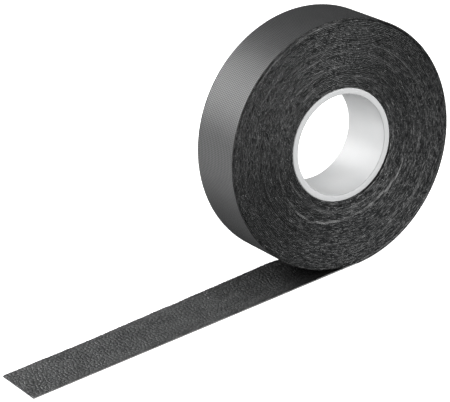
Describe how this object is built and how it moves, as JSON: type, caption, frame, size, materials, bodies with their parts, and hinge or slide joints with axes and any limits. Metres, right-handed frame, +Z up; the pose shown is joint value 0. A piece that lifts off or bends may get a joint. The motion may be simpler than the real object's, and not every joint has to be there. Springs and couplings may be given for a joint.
{
  "type": "grip tape roll",
  "caption": "Flat-wound roll of thin racket grip tape on a short plastic tube core, with its loose end drawn off straight along the surface it stands on.",
  "frame": {"origin": "centre of the core tube's bore, halfway across the tape's width", "axes": "+Y along the roll's axis, away from the front; +Z up; the tail runs off towards -X at the roll's lowest line"},
  "size_m": [0.2027, 0.025, 0.104],
  "materials": {
    "core_plastic": "smooth, slightly translucent white moulded plastic",
    "start_strip": "thin pale adhesive strip",
    "grip_layer": "matt, fine leather-like grain, rough slit edges",
    "cover_film": "satin, very fine embossed diamond weave"
  },
  "bodies": {
    "outer_turn": {"outer_turn_grip_layer": "grip_layer", "outer_turn_cover_film": "cover_film", "tail_1_grip_layer": "grip_layer", "tail_1_cover_film": "cover_film"},
    "wound_roll": {"core_tube": "core_plastic", "start_strip": "start_strip", "wound_grip_layer": "grip_layer", "wound_cover_film": "cover_film"},
    "tail_2": {"tail_2_grip_layer": "grip_layer", "tail_2_cover_film": "cover_film"},
    "tail_3": {"tail_3_grip_layer": "grip_layer", "tail_3_cover_film": "cover_film"},
    "tail_4": {"tail_4_grip_layer": "grip_layer", "tail_4_cover_film": "cover_film"},
    "tail_5": {"tail_5_grip_layer": "grip_layer", "tail_5_cover_film": "cover_film"}
  },
  "joints": [
    {"name": "roll_unwind", "type": "hinge", "parent": "outer_turn", "child": "wound_roll", "pos_m": [0, 0, 0], "axis": [0, 1, 0], "continuous": true},
    {"name": "tail_bend_1", "type": "hinge", "parent": "outer_turn", "child": "tail_2", "pos_m": [-0.03014, 0, -0.05168], "axis": [0, 1, 0], "range_deg": [0, 25]},
    {"name": "tail_bend_2", "type": "hinge", "parent": "tail_2", "child": "tail_3", "pos_m": [-0.06028, 0, -0.05168], "axis": [0, 1, 0], "range_deg": [0, 25]},
    {"name": "tail_bend_3", "type": "hinge", "parent": "tail_3", "child": "tail_4", "pos_m": [-0.09042, 0, -0.05168], "axis": [0, 1, 0], "range_deg": [0, 25]},
    {"name": "tail_bend_4", "type": "hinge", "parent": "tail_4", "child": "tail_5", "pos_m": [-0.12056, 0, -0.05168], "axis": [0, 1, 0], "range_deg": [0, 25]}
  ]
}
